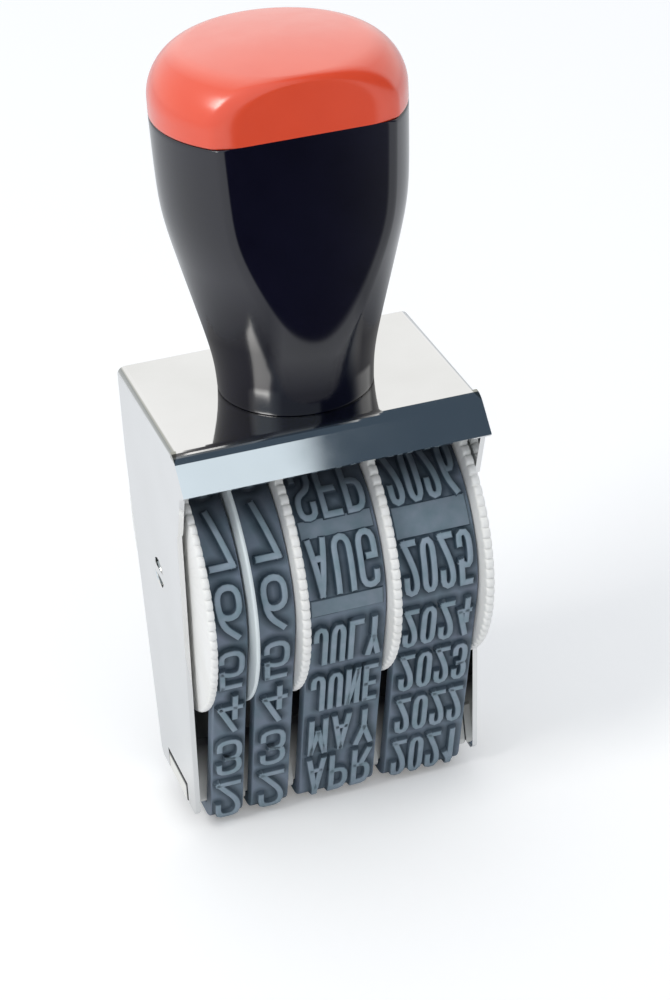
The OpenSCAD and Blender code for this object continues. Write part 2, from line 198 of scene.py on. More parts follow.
# Handle: a flared grip with a flat front, and a domed cap
COLLAR_H = 2.8
COLLAR_R = 7.4
FLARE_H = 18.9
FLARE_R = 11.5
FLARE_SOFT = 1.3
SEAM_EDGE = 0.22
PANEL_EDGE = 0.45
PANEL_COSINE = 0.2
CAP_WALL = 1.5
CAP_ROUND = 3.8
CAP_CROWN = 1.0
CAP_EDGE = 1.3
CAP_DIP = 0.12
HANDLE_STEPS = 720
GRIP_ROWS = 90
CAP_WALL_ROWS = 8
CAP_ROUND_ROWS = 40
CAP_CROWN_ROWS = 30


def soft_min(a, b, width):
    """The smaller of two values with their meeting rounded: where they differ by less than the
    width, the square of what is left of the width, over four widths, is taken off."""
    near = np.clip(width - np.abs(a - b), 0, None)
    return np.minimum(a, b) - near ** 2 / (4 * width)


def soft_ramp(rise, width):
    """Zero below the bend and the rise above it, joined smoothly: width times ln(1 + exp(rise / width))."""
    return width * np.log1p(np.exp(rise / width))


def rounded_outline(corners, radii, steps):
    """Closed outline with an arc in each corner. The arc's centre lies on the corner's bisector, at the
    radius over the sine of half the angle, and its points swing evenly between the two tangent points."""
    corners = np.asarray(corners, float)
    radii = np.asarray(radii, float)[:, None]
    before = np.roll(corners, 1, 0) - corners
    after = np.roll(corners, -1, 0) - corners
    before /= np.linalg.norm(before, axis=1, keepdims=True)
    after /= np.linalg.norm(after, axis=1, keepdims=True)
    half = np.arccos(np.clip(np.sum(before * after, 1, keepdims=True), -1, 1)) / 2
    middle = (before + after) / np.linalg.norm(before + after, axis=1, keepdims=True)
    centre = corners + middle * radii / np.sin(half)
    start = (corners + before * radii / np.tan(half) - centre)[:, None]
    end = (corners + after * radii / np.tan(half) - centre)[:, None]
    swing = (np.pi - 2 * half)[:, None]
    share = np.linspace(0, 1, steps)[None, :, None]
    arc = (np.sin((1 - share) * swing) * start + np.sin(share * swing) * end) / np.sin(swing)
    return (centre[:, None] + arc).reshape(-1, 2)


def grid_faces(rows, columns, close_rows):
    """Quads between neighbours of a grid whose columns close on themselves, and whose rows may."""
    index = np.arange(rows * columns).reshape(rows, columns)
    index = np.hstack([index, index[:, :1]])
    if close_rows:
        index = np.vstack([index, index[:1]])
    return np.stack([index[:-1, :-1], index[1:, :-1], index[1:, 1:], index[:-1, 1:]], -1).reshape(-1, 4)


def make_piece(name, points, faces, node, material, poles=False, levels=None):
    """Mesh of points in millimetres in place of a CAD node, on the body that carries the node. Rows that
    shrink to a pole are merged into one point there. Levels are kept as a number of each point."""
    count, sides = faces.shape
    mesh = bpy.data.meshes.new(name)
    mesh.vertices.add(len(points))
    mesh.vertices.foreach_set("co", (points * MM).astype(np.float32).ravel())
    mesh.loops.add(count * sides)
    mesh.loops.foreach_set("vertex_index", faces.astype(np.int32).ravel())
    mesh.polygons.add(count)
    mesh.polygons.foreach_set("loop_start", np.arange(0, count * sides, sides, dtype=np.int32))
    mesh.update(calc_edges=True)
    if levels is not None:
        layer = mesh.attributes.new(LEVEL, "FLOAT", "POINT")
        layer.data.foreach_set("value", levels.astype(np.float32))
    work = bmesh.new()
    work.from_mesh(mesh)
    if poles:
        bmesh.ops.remove_doubles(work, verts=work.verts, dist=POLE_GAP)
        bmesh.ops.dissolve_degenerate(work, edges=work.edges, dist=POLE_SLIVER)
    bmesh.ops.recalc_face_normals(work, faces=work.faces)
    work.to_mesh(mesh)
    work.free()
    mesh.shade_smooth()
    mesh.set_sharp_from_angle(angle=SHARP_ANGLE)
    mesh.materials.append(material)
    piece = bpy.data.objects.new(name, mesh)
    bpy.context.scene.collection.objects.link(piece)
    body = frame["nodes"][node]["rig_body"]
    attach(piece, body)
    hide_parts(node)


def loop_points(along, off):
    """Y and Z on a band's loop, at a length from the print row up the front and an offset from its
    inside: flat under the nose, an arc round the nose's corner, a straight run leaning out by the
    tilt, and an arc over the wheel to its top. The back half mirrors the front."""
    along = np.mod(along, 2 * HALF_LOOP)
    s = np.minimum(along, 2 * HALF_LOOP - along)
    bend = np.clip((s - NOSE_Y) / (NOSE_R + MID_T), 0, math.pi / 2 - TILT)
    run = np.clip(s - NOSE_Y - CORNER_LEN, 0, RUN_LEN)
    turn = math.pi + TILT - (s - NOSE_Y - CORNER_LEN - RUN_LEN) / (LOOP_R + MID_T)
    nose_y = -np.minimum(s, NOSE_Y) - (NOSE_R + off) * np.sin(bend) - run * math.sin(TILT)
    nose_z = NOSE_Z - (NOSE_R + off) * np.cos(bend) + run * math.cos(TILT)
    over = s > NOSE_Y + CORNER_LEN + RUN_LEN
    y = np.where(over, (LOOP_R + off) * np.cos(turn), nose_y)
    z = np.where(over, AXLE_Z + (LOOP_R + off) * np.sin(turn), nose_z)
    return np.where(along <= HALF_LOOP, y, -y), z


def stroke_line(kind, corners):
    """Centre line of a stroke in even steps. Round each corner of a bend or ring it is the quadratic curve
    (1-t)^2 start + 2t(1-t) corner + t^2 end, whose ends lie up to half a side from the corner."""
    corners = np.asarray(corners, float)
    path = corners
    if kind != LINE:
        before = np.roll(corners, 1, 0) - corners
        after = np.roll(corners, -1, 0) - corners
        before *= np.clip(BEND_REACH / np.linalg.norm(before, axis=1, keepdims=True), 0, 0.5)
        after *= np.clip(BEND_REACH / np.linalg.norm(after, axis=1, keepdims=True), 0, 0.5)
        t = np.linspace(0, 1, BEND_STEPS)[None, :, None]
        curves = corners[:, None] + (1 - t) ** 2 * before[:, None] + t ** 2 * after[:, None]
        if kind == RING:
            path = np.vstack([curves.reshape(-1, 2), curves[0, :1]])
        else:
            path = np.vstack([corners[:1], curves[1:-1].reshape(-1, 2), corners[-1:]])
    length = np.concatenate([[0], np.cumsum(np.linalg.norm(np.diff(path, axis=0), axis=1))])
    even = np.linspace(0, length[-1], max(2, math.ceil(length[-1] / STROKE_STEP)) + 1)
    line = np.stack([np.interp(even, length, path[:, 0]), np.interp(even, length, path[:, 1])], -1)
    return line[:-1] if kind == RING else line


def raised_stroke(kind, corners, face):
    """Points and triangles of a raised stroke: a section with drafted sides and an eased edge carried along
    its centre line. At an open end each point is pushed out as far as it would be on a stroke of the usual
    width."""
    line = stroke_line(kind, corners)
    ahead = np.roll(line, -1, 0) - np.roll(line, 1, 0) if kind == RING else np.gradient(line, axis=0)
    ahead /= np.linalg.norm(ahead, axis=1, keepdims=True)
    aside = np.stack([-ahead[:, 1], ahead[:, 0]], -1)
    half = face / 2 + np.array([STROKE_DRAFT, 0, -STROKE_EDGE, -STROKE_EDGE, 0, STROKE_DRAFT])
    half *= np.array([-1, -1, -1, 1, 1, 1])
    level = np.array([0, 1 - STROKE_EDGE, 1, 1, 1 - STROKE_EDGE, 0])
    flat = line[:, None] + aside[:, None] * half[None, :, None]
    if kind != RING:
        reach = (np.abs(half) - max(face - STROKE_FACE, 0) / 2)[:, None]
        flat[0] -= ahead[0] * reach
        flat[-1] += ahead[-1] * reach
    sides = len(half)
    heights = np.broadcast_to(level[None, :, None], (len(line), sides, 1))
    points = np.concatenate([flat, heights], -1).reshape(-1, 3)
    quads = grid_faces(len(line), sides, kind == RING)
    faces = [quads[:, [0, 1, 2]], quads[:, [0, 2, 3]]]
    if kind != RING:
        fan = np.stack([np.zeros(sides - 2, int), np.arange(1, sides - 1), np.arange(2, sides)], -1)
        faces += [fan, fan[:, ::-1] + len(points) - sides]
    return points, np.vstack(faces)


def raised_bar(width, length):
    """Points and triangles of a low plain bar across the row: an upright stroke as wide as the row."""
    return raised_stroke(LINE, [(0, -length / 2), (0, length / 2)], width)


def row_strokes(word, width):
    """Kinds and corners of the strokes in one row of type about its centre, in millimetres: each character
    is centred in its own equal share of the row's width."""
    share = width / len(word)
    wide = min(share * LETTER_SHARE, TYPE_WIDEST) if len(word) > 1 else TYPE_WIDEST
    size = np.array([wide, TYPE_TALL]) - STROKE_FACE
    strokes = []
    for place, letter in enumerate(word):
        middle = np.array([(place - (len(word) - 1) / 2) * share, 0])
        strokes += [(kind, (np.array(corners) - 0.5) * size + middle) for kind, corners in LETTERS[letter]]
    return strokes


def ink_and_shade_round_type(columns, along, lines):
    """Ink and painted shade on the strip, from 1 beside a character's centre line to 0 at the far distance:
    the distance is the root of the squared gaps across and along the loop, the latter taken the shorter way
    round."""
    gap = np.mod(along - lines[None, :, 1] + HALF_LOOP, 2 * HALF_LOOP) - HALF_LOOP
    nearest = np.stack([np.min(gap ** 2 + (column - lines[None, :, 0]) ** 2, 1) for column in columns], 1)
    return np.clip((INK_SHADE_FAR - np.sqrt(nearest)) / (INK_SHADE_FAR - INK_SHADE_NEAR), 0, 1)


def make_band(name, words, bars, row_width, material):
    """Rubber band: a strip with rounded edges carried along the band's loop, and rows of raised type bent
    onto the same loop. A character's top points down the front, so its height runs against the loop. The
    level kept for the finish is 1 on a face, 0 on bare rubber and down to -1 on rubber darkened with ink and
    painted shade round the type."""
    low, high = node_box(name)
    left, right = low[0], high[0]
    corners = [(left, 0), (right, 0), (right, STRIP_T), (left, STRIP_T)]
    outline = rounded_outline(corners, [BAND_EDGE] * 4, BAND_EDGE_STEPS)
    columns = np.linspace(right - BAND_EDGE, left + BAND_EDGE, math.ceil((right - left) / BAND_COLUMN))
    top = np.stack([columns, np.full(len(columns), STRIP_T)], -1)
    first = 3 * BAND_EDGE_STEPS - 1
    section = np.vstack([outline[:first], top, outline[first + 2:]])
    along = np.linspace(0, 2 * HALF_LOOP, BAND_STEPS, endpoint=False)[:, None]
    y, z = loop_points(along, section[None, :, 1])
    strip = np.stack([np.broadcast_to(section[None, :, 0], y.shape), y, z], -1).reshape(-1, 3)
    quads = grid_faces(BAND_STEPS, len(section), True)
    middle = (left + right) / 2
    strokes = [(place, kind, shape)
               for place, word in words.items() for kind, shape in row_strokes(word, row_width)]
    lines = np.vstack([stroke_line(kind, shape) * (1, -1) + (middle, place * ROW_PITCH)
                       for place, kind, shape in strokes])
    level = np.zeros((BAND_STEPS, len(section)))
    level[:, first:first + len(columns)] = -ink_and_shade_round_type(columns, along, lines)
    rows = [(place, 1, 1, raised_stroke(kind, shape, STROKE_FACE)) for place, kind, shape in strokes]
    rows += [(place, BAR_LEVEL, BAR_TONE, raised_bar(row_width, length)) for place, length in bars.items()]
    points, levels = [strip], [level.ravel()]
    faces = [quads[:, [0, 1, 2]], quads[:, [0, 2, 3]]]
    foot = STRIP_T - STROKE_SINK
    start = len(strip)
    for place, share, tone, (row, triangles) in rows:
        rise = row[:, 2] * share * (BAND_T + TYPE_H - foot)
        y, z = loop_points(place * ROW_PITCH - row[:, 1], foot + rise)
        points.append(np.stack([middle + row[:, 0], y, z], -1))
        levels.append(row[:, 2] * tone)
        faces.append(triangles + start)
        start += len(row)
    make_piece(name + "_rubber", np.vstack(points), np.vstack(faces), name, material,
               levels=np.concatenate(levels))


def turned_on_axle(section, steps, knurl_r=None):
    """Section of X and radius carried round the axle. Near the knurled rim the radius loses the knurl's
    depth times a power of the place in the tooth, which runs from -1 to 1, so that the crests are broad."""
    angle = np.linspace(0, 2 * np.pi, steps, endpoint=False)[:, None]
    radius = np.broadcast_to(section[None, :, 1], (steps, len(section)))
    if knurl_r:
        place = np.mod(angle * KNURL_COUNT / (2 * np.pi), 1) * 2 - 1
        bead = np.abs(place) ** KNURL_POWER
        at_rim = np.clip((radius - knurl_r + KNURL_FOOT * KNURL_DEPTH) / (KNURL_FADE * KNURL_DEPTH), 0, 1)
        radius = radius - KNURL_DEPTH * bead * at_rim
    points = np.stack([np.broadcast_to(section[None, :, 0], radius.shape),
                       radius * np.sin(angle), AXLE_Z - radius * np.cos(angle)], -1)
    return points.reshape(-1, 3), grid_faces(steps, len(section), True)


def make_wheel(name, disc_on_left, material, set_in=0.0):
    """Wheel turned from one section: a finger disc with a knurled rim, a hollow drum and a hub. A disc on
    the left may be set in, so that it is thinner on its outer face."""
    low, high = node_box(name)
    rim = high[1]
    face, end = (low[0] + set_in, high[0]) if disc_on_left else (high[0], low[0])
    back = face + math.copysign(DISC_T - set_in, end - face)
    inside = DRUM_R - DRUM_WALL
    rounded_corners = [
        (face, BORE_R, MOULD_EDGE), (face, rim, MOULD_ROUND), (back, rim, MOULD_ROUND),
        (back, DRUM_R, DRUM_ROOT), (end, DRUM_R, MOULD_EDGE), (end, inside, MOULD_EDGE),
        (back, inside, MOULD_ROUND), (back, HUB_R, MOULD_ROUND), (end, HUB_R, MOULD_EDGE),
        (end, BORE_R, MOULD_EDGE)]
    corners = [(x, r) for x, r, _ in rounded_corners]
    section = rounded_outline(corners, [size for _, _, size in rounded_corners], ARC_STEPS)
    points, faces = turned_on_axle(section, KNURL_COUNT * KNURL_STEPS, rim)
    make_piece(name + "_moulding", points, faces, name, material)


def make_separator(name, material):
    """Separator turned from one section: a thin smooth disc with a hub hole and a rounded rim."""
    low, high = node_box(name)
    corners = [(low[0], BORE_R), (low[0], high[1]), (high[0], high[1]), (high[0], BORE_R)]
    radii = [SEPARATOR_EDGE, SEPARATOR_RIM, SEPARATOR_RIM, SEPARATOR_EDGE]
    points, faces = turned_on_axle(rounded_outline(corners, radii, ARC_STEPS), SEPARATOR_STEPS)
    make_piece(name + "_disc", points, faces, name, material)


def turned_with_flat(radius, height, flat_y, edge):
    """Profile of radius and height carried round the upright axis, with a flat front: at an angle from
    the front the radius is the soft minimum of the profile's and the flat's distance over the cosine."""
    angle = np.linspace(-np.pi, np.pi, HANDLE_STEPS, endpoint=False)[None, :]
    flat_r = flat_y / np.maximum(np.cos(angle), PANEL_COSINE)
    width = np.minimum(edge, radius[:, None] + TINY)
    r = np.clip(soft_min(radius[:, None], flat_r, width), 0, None)
    points = np.stack([r * np.sin(angle), -r * np.cos(angle), np.broadcast_to(height[:, None], r.shape)], -1)
    return points.reshape(-1, 3), grid_faces(len(radius), HANDLE_STEPS, False)


def quarter(radius, height, size, start, steps=6):
    """Radius and height along a quarter turn of the given size, from a start angle in quarter turns."""
    angle = (start + np.linspace(0, 1, steps)) * math.pi / 2
    return radius + size * np.cos(angle), height + size * np.sin(angle)


def make_grip(material):
    """Grip: the radius is the collar's, then climbs along the flare, then steepens towards the seam,
    each bend being a soft ramp, and a flat front is cut through it."""
    name = "handle_grip"
    low, high = node_box(name)
    foot, seam, seam_r, flat_y = low[2], high[2], high[0], -low[1]
    tall = seam - foot
    flare_slope = (FLARE_R - COLLAR_R) / (FLARE_H - COLLAR_H)
    top_slope = (seam_r - FLARE_R) / (tall - FLARE_H)
    z = np.linspace(SEAM_EDGE, tall - SEAM_EDGE, GRIP_ROWS)
    wall = COLLAR_R + flare_slope * soft_ramp(z - COLLAR_H, FLARE_SOFT)
    wall = wall - (flare_slope - top_slope) * soft_ramp(z - FLARE_H, FLARE_SOFT)
    foot_r, foot_z = quarter(wall[0] - SEAM_EDGE, SEAM_EDGE, SEAM_EDGE, -1)
    top_r, top_z = quarter(wall[-1] - SEAM_EDGE, tall - SEAM_EDGE, SEAM_EDGE, 0)
    radius = np.concatenate([[0], foot_r[:-1], wall, top_r[1:], [0]])
    height = foot + np.concatenate([[0], foot_z[:-1], z, top_z[1:], [tall]])
    points, faces = turned_with_flat(radius, height, flat_y, PANEL_EDGE)
    make_piece(name + "_moulding", points, faces, name, material, poles=True)


def make_cap(material):
    """Cap: an upright wall, and a crown that falls with the square of the radius and by a quarter ellipse at
    its rim. The grip's flat front runs on up it, and towards that front what is above the wall loses a share
    of its height that grows with the distance squared. The level kept for the finish's painted sheen is 1
    where the surface faces up and 0 where it is upright."""
    name = "handle_cap"
    low, high = node_box(name)
    seam = node_box("handle_grip")[1][2]
    top, seam_r, flat_y = high[2], high[0], -low[1]
    turn = np.linspace(0, 1, CAP_ROUND_ROWS) * math.pi / 2
    round_r = seam_r - CAP_ROUND * (1 - np.cos(turn))
    crown_r = np.linspace(1, 0, CAP_CROWN_ROWS)[1:] * (seam_r - CAP_ROUND)
    dome_r = np.concatenate([round_r, crown_r])
    fall = np.concatenate([1 - np.sin(turn), np.zeros(len(crown_r))]) * (top - CAP_CROWN - seam - CAP_WALL)
    dome_z = top - CAP_CROWN * (dome_r / seam_r) ** 2 - fall
    foot_r, foot_z = quarter(seam_r - SEAM_EDGE, seam + SEAM_EDGE, SEAM_EDGE, -1)
    wall_z = np.linspace(seam + SEAM_EDGE, seam + CAP_WALL, CAP_WALL_ROWS)[1:-1]
    radius = np.concatenate([[0], foot_r, np.full(len(wall_z), seam_r), dome_r])
    height = np.concatenate([[seam], foot_z, wall_z, dome_z])
    points, faces = turned_with_flat(radius, height, flat_y, CAP_EDGE)
    rise = np.clip(points[:, 2] - seam - CAP_WALL, 0, None)
    points[:, 2] -= CAP_DIP * rise * np.clip(-points[:, 1] / flat_y, 0, 1) ** 2
    grid = points.reshape(len(radius), HANDLE_STEPS, 3)
    normal = np.cross(np.roll(grid, -1, 1) - np.roll(grid, 1, 1), np.gradient(grid, axis=0))
    facing_up = normal[..., 2] / np.maximum(np.linalg.norm(normal, axis=-1), LEAST_NORMAL)
    facing_up[-1] = 1
    make_piece(name + "_moulding", points, faces, name, material, poles=True,
               levels=facing_up.reshape(-1))


def add(tree, kind, sockets=None, **settings):
    """Add a node, with its settings, and with sockets that are either linked or given a constant."""
    node = tree.nodes.new(kind)
    for key, value in settings.items():
        setattr(node, key, value)
    for key, value in (sockets or {}).items():
        if isinstance(value, bpy.types.NodeSocket):
            tree.links.new(value, node.inputs[key])
        else:
            node.inputs[key].default_value = value
    return node


def mottle(tree, scale, detail=3.0, stretch=(1.0, 1.0, 1.0)):
    """Noise on Object coordinates, from 0 to 1; a stretch draws it out along an axis."""
    place = add(tree, "ShaderNodeTexCoord").outputs["Object"]
    drawn_out = add(tree, "ShaderNodeMapping", {"Vector": place, "Scale": stretch}).outputs["Vector"]
    sockets = {"Vector": drawn_out, "Scale": scale, "Detail": detail}
    return add(tree, "ShaderNodeTexNoise", sockets).outputs["Fac"]


def between(tree, amount, low, high, start=0.3, end=0.7):
    """Number that goes from low to high as the amount goes from start to end."""
    sockets = {"Value": amount, "From Min": start, "From Max": end, "To Min": low, "To Max": high}
    return add(tree, "ShaderNodeMapRange", sockets).outputs["Result"]


def across(tree, place, low, high, reach):
    """Number that goes from low to high as a coordinate crosses a reach, which is in millimetres."""
    return between(tree, place, low, high, reach[0] * MM, reach[1] * MM)


def tinted(tree, amount, low, high):
    """Colour that goes from low to high with the amount; either may be a colour or a socket."""
    ends = [end if isinstance(end, bpy.types.NodeSocket) else (*end, 1) for end in (low, high)]
    sockets = {"Fac": amount, "Color1": ends[0], "Color2": ends[1]}
    return add(tree, "ShaderNodeMixRGB", sockets).outputs["Color"]


def clouded(tree, scale, low, high, detail=3.0):
    """Colour that drifts between low and high with the mottle."""
    return tinted(tree, between(tree, mottle(tree, scale, detail), 0, 1), low, high)


def sum_up(tree, operation, *numbers):
    """Result of an operation of the Math node on numbers of a tree."""
    return add(tree, "ShaderNodeMath", dict(enumerate(numbers)), operation=operation).outputs["Value"]


def times(tree, first, second):
    """Product of two numbers of a tree."""
    return sum_up(tree, "MULTIPLY", first, second)


def larger(tree, first, second):
    """The larger of two numbers of a tree."""
    return sum_up(tree, "MAXIMUM", first, second)


def unsigned(tree, number):
    """A number of a tree without its sign."""
    return sum_up(tree, "ABSOLUTE", number)


def parts_of(tree, coordinate):
    """X, Y and Z of one of the texture coordinates."""
    place = add(tree, "ShaderNodeTexCoord").outputs[coordinate]
    return add(tree, "ShaderNodeSeparateXYZ", {"Vector": place}).outputs


def level_of(tree):
    """The level that a piece keeps at its points."""
    return add(tree, "ShaderNodeAttribute", attribute_name=LEVEL).outputs["Fac"]


Gloss = namedtuple("Gloss", "scale detail low high")
Grain = namedtuple("Grain", "scale detail depth stretch", defaults=[(1.0, 1.0, 1.0)])


def finish_material(name, colour, gloss, grain, constants, polish=None):
    """Principled material: a colour from a function of its tree, a roughness that drifts from low to high,
    a fine bump, constants on the shader's own sockets, and perhaps a coat that is fainter in places."""
    material = bpy.data.materials.new(name)
    material.use_nodes = True
    tree = material.node_tree
    shader = tree.nodes["Principled BSDF"]
    tree.links.new(colour(tree), shader.inputs["Base Color"])
    roughness = between(tree, mottle(tree, gloss.scale, gloss.detail), gloss.low, gloss.high)
    tree.links.new(roughness, shader.inputs["Roughness"])
    height = mottle(tree, grain.scale, grain.detail, grain.stretch)
    bump = add(tree, "ShaderNodeBump", {"Height": height, "Distance": grain.depth * MM, "Strength": 1.0})
    tree.links.new(bump.outputs["Normal"], shader.inputs["Normal"])
    for key, value in constants.items():
        shader.inputs[key].default_value = value
    if polish:
        tree.links.new(polish(tree), shader.inputs["Coat Weight"])
    return material


# Where the finishes change: each reach runs from a change's start to its end, in millimetres or in the
# piece's own levels. The bend line is counted back from the corner where a side and the top would meet.
BEND_CORNER = node_box("frame")[1][0] + node_box("frame")[1][2]
# The bend line bounds the painted dark reflection on the side bends
BEND_LINE = (BEND_CORNER - 0.57, BEND_CORNER - 0.5)
NECK_MIDDLE_Z = (47.5, 51.5)
NECK_FLANK_Z = (52, 60)
NECK_FLANK_X = (3.4, 4.6)
NECK_FOOT_Z = (47.6, 48.4)
NECK_FOOT_X = (5.6, 6.3)
NECK_MIDDLE_COAT = 0.35
NECK_FLANK_COAT = 0.3
# Levels over which the cap's painted sheen comes in
CROWN_SHEEN_LEVELS = (0.8, 0.95)
STRIP_INK_SHADE_LEVELS = (-1, -0.1)
WALL_INK_SHADE_LEVELS = (0.05, 0.2)
FACE_LEVELS = (0.8, 0.97)
PALER_LOW_Z = (4, 16)
PALER_LOW_SHARE = 0.1
# Painted shadow on the bands under the lip
LIP_SHADOW_Y = (-3, -1)
LIP_SHADOW_Z = (36, 37.9)
LIP_SHADOW_SHARE = 0.8
FIN_EDGE_Y = (2.8, 3.4)
TAB_X = node_box("bridge")[1][0]
TAB_FACE_X = (TAB_X - 0.06, TAB_X - 0.03)
TAB_ROOT_X = (TAB_X - 0.6, TAB_X - 0.55)
TAB_TOP = node_box("frame")[0][2] + 2.0
TAB_FRONT = -3.2
# Reach of the ink and painted shadow along the notches
NOTCH_SHADE_EDGE, NOTCH_SHADE_END = 0.1, 0.45


def nickel_colour(tree):
    """Bright nickel with faint cloudiness."""
    return clouded(tree, 90, (0.80, 0.80, 0.79), (0.86, 0.86, 0.855))


def frame_colour(tree):
    """Bright nickel, with a painted dark reflection along the two side bends, found by the sum of their X and
    Z.
    """
    place = parts_of(tree, "Object")
    corner = sum_up(tree, "ADD", unsigned(tree, place["X"]), place["Z"])
    return tinted(tree, across(tree, corner, 0, 1, BEND_LINE), nickel_colour(tree), (0.36, 0.365, 0.33))


def steel_colour(tree):
    """Plain dark steel."""
    return clouded(tree, 300, (0.33, 0.33, 0.33), (0.45, 0.44, 0.42))


def grip_colour(tree):
    """Black plastic with a trace of blue."""
    return clouded(tree, 160, (0.002, 0.002, 0.007), (0.004, 0.004, 0.012))


def grip_polish(tree):
    """Coat of the grip: full on its upper part and fainter on the neck, with the flanks dulled higher up
    than the middle and polished again in a patch at the foot."""
    place = parts_of(tree, "Object")
    aside = unsigned(tree, place["X"])
    middle = across(tree, place["Z"], NECK_MIDDLE_COAT, 1, NECK_MIDDLE_Z)
    foot = times(tree, across(tree, place["Z"], 1, 0, NECK_FOOT_Z), across(tree, aside, 1, 0, NECK_FOOT_X))
    flank = larger(tree, foot, across(tree, place["Z"], NECK_FLANK_COAT, 1, NECK_FLANK_Z))
    return between(tree, across(tree, aside, 0, 1, NECK_FLANK_X), middle, flank, 0, 1)


def cap_colour(tree):
    """Orange-red plastic, with a pale sheen painted on the crown, where its surface faces up."""
    wall = clouded(tree, 120, (0.83, 0.058, 0.008), (0.89, 0.072, 0.014))
    crown = clouded(tree, 160, (0.93, 0.16, 0.10), (0.96, 0.185, 0.12))
    return tinted(tree, between(tree, level_of(tree), 0, 1, *CROWN_SHEEN_LEVELS), wall, crown)


def wheel_colour(tree):
    """White plastic, faintly cream."""
    return clouded(tree, 200, (0.88, 0.87, 0.84), (0.93, 0.925, 0.905))


def separator_colour(tree):
    """White plastic, faintly blue."""
    return clouded(tree, 200, (0.74, 0.80, 0.82), (0.80, 0.86, 0.87))


def rubber_colour(tree):
    """Slate rubber: pale where it is bare, dark with ink and painted shade round and between the characters
    and on their walls, rubbed paler on their faces, a little paler low down, and darkened by a painted shadow
    where the bands come out from under the lip."""
    level = level_of(tree)
    bare = clouded(tree, 350, (0.113, 0.17, 0.208), (0.18, 0.213, 0.28), 4)
    ink = clouded(tree, 420, (0.014, 0.034, 0.05), (0.05, 0.075, 0.105))
    faces = clouded(tree, 700, (0.205, 0.29, 0.337), (0.29, 0.353, 0.425), 4)
    # Ink and painted shade round the characters and on their walls
    strip_ink_shade = between(tree, level, 1, 0, *STRIP_INK_SHADE_LEVELS)
    wall_ink_shade = between(tree, level, 0, 1, *WALL_INK_SHADE_LEVELS)
    inked = tinted(tree, larger(tree, strip_ink_shade, wall_ink_shade), bare, ink)
    rubbed = tinted(tree, between(tree, level, 0, 1, *FACE_LEVELS), inked, faces)
    place = parts_of(tree, "Object")
    # A little paler towards the bottom
    paler_low = tinted(tree, across(tree, place["Z"], PALER_LOW_SHARE, 0, PALER_LOW_Z), rubbed, (0.33, 0.41, 0.48))
    # Painted shadow where the bands come out from under the lip
    front = across(tree, place["Y"], 1, 0, LIP_SHADOW_Y)
    lip_shadow = times(tree, front, across(tree, place["Z"], 0, LIP_SHADOW_SHARE, LIP_SHADOW_Z))
    return tinted(tree, lip_shadow, paler_low, (0.006, 0.01, 0.02))


def bridge_colour(tree):
    """White plastic, darkened by ink and painted shade behind the bands and by ink and a painted shadow along
    the notches, clean on the fins' outer edges and on the rest of the tabs."""
    place = parts_of(tree, "Object")
    aside = unsigned(tree, place["X"])
    fin = across(tree, unsigned(tree, place["Y"]), 0, 1, FIN_EDGE_Y)
    inside = across(tree, aside, 1, 0, TAB_ROOT_X)
    tab = across(tree, aside, 0, 1, TAB_FACE_X)
    below = across(tree, place["Z"], 1, 0, (TAB_TOP - NOTCH_SHADE_END, TAB_TOP - NOTCH_SHADE_EDGE))
    within = across(tree, place["Y"], 0, 1, (TAB_FRONT + NOTCH_SHADE_EDGE, TAB_FRONT + NOTCH_SHADE_END))
    # Ink and painted shade everywhere but the clean parts, with a painted shadow along the notches
    clean = larger(tree, times(tree, fin, inside), times(tree, tab, times(tree, below, within)))
    inky = clouded(tree, 300, (0.03, 0.032, 0.036), (0.07, 0.068, 0.065))
    white = clouded(tree, 200, (0.82, 0.80, 0.75), (0.88, 0.87, 0.83))
    return tinted(tree, clean, inky, white)


METAL = {"Metallic": 1.0}
GRIP_COAT = {"Specular IOR Level": 0.0, "Coat Roughness": 0.14, "Coat IOR": 1.65}
CAP_COAT = {"Specular IOR Level": 0.2, "Coat Weight": 1.0, "Coat Roughness": 0.22, "Coat IOR": 1.75}
bright = Gloss(scale=260, detail=4, low=0.035, high=0.06)
drawn = Grain(scale=500, detail=2, depth=0.001, stretch=(0.3, 1, 1))
nickel = finish_material("bright_nickel", nickel_colour, bright, drawn, METAL)
frame_nickel = finish_material("bent_nickel_sheet", frame_colour, bright, drawn, METAL)
dark_steel = finish_material(
    "plain_steel", steel_colour, Gloss(scale=700, detail=3, low=0.25, high=0.4),
    Grain(scale=1200, detail=2, depth=0.005, stretch=(1, 1, 0.1)), METAL)
black_plastic = finish_material(
    "black_gloss_plastic", grip_colour, Gloss(scale=420, detail=4, low=0.22, high=0.3),
    Grain(scale=1500, detail=2, depth=0.003), GRIP_COAT, grip_polish)
red_plastic = finish_material(
    "orange_red_plastic", cap_colour, Gloss(scale=500, detail=4, low=0.3, high=0.4),
    Grain(scale=1800, detail=2, depth=0.004), CAP_COAT)
white_plastic = finish_material(
    "white_wheel_plastic", wheel_colour, Gloss(scale=600, detail=3, low=0.34, high=0.48),
    Grain(scale=1600, detail=2, depth=0.005), {})
clear_white = finish_material(
    "pale_separator_plastic", separator_colour, Gloss(scale=600, detail=3, low=0.3, high=0.42),
    Grain(scale=1600, detail=2, depth=0.004), {})
rubber = finish_material(
    "slate_rubber", rubber_colour, Gloss(scale=500, detail=4, low=0.45, high=0.62),
    Grain(scale=1400, detail=4, depth=0.02), {})
bridge_plastic = finish_material(
    "inked_and_shaded_bridge_plastic", bridge_colour, Gloss(scale=600, detail=3, low=0.4, high=0.55),
    Grain(scale=1600, detail=2, depth=0.005), {})

# CAD nodes that stay: their edges are rounded a little
SHEET_EDGE = 0.1
FITTING_EDGE = 0.08
BRIDGE_EDGE = 0.1
EDGE_ANGLE = math.radians(35)
JOIN_GAP = 1e-6


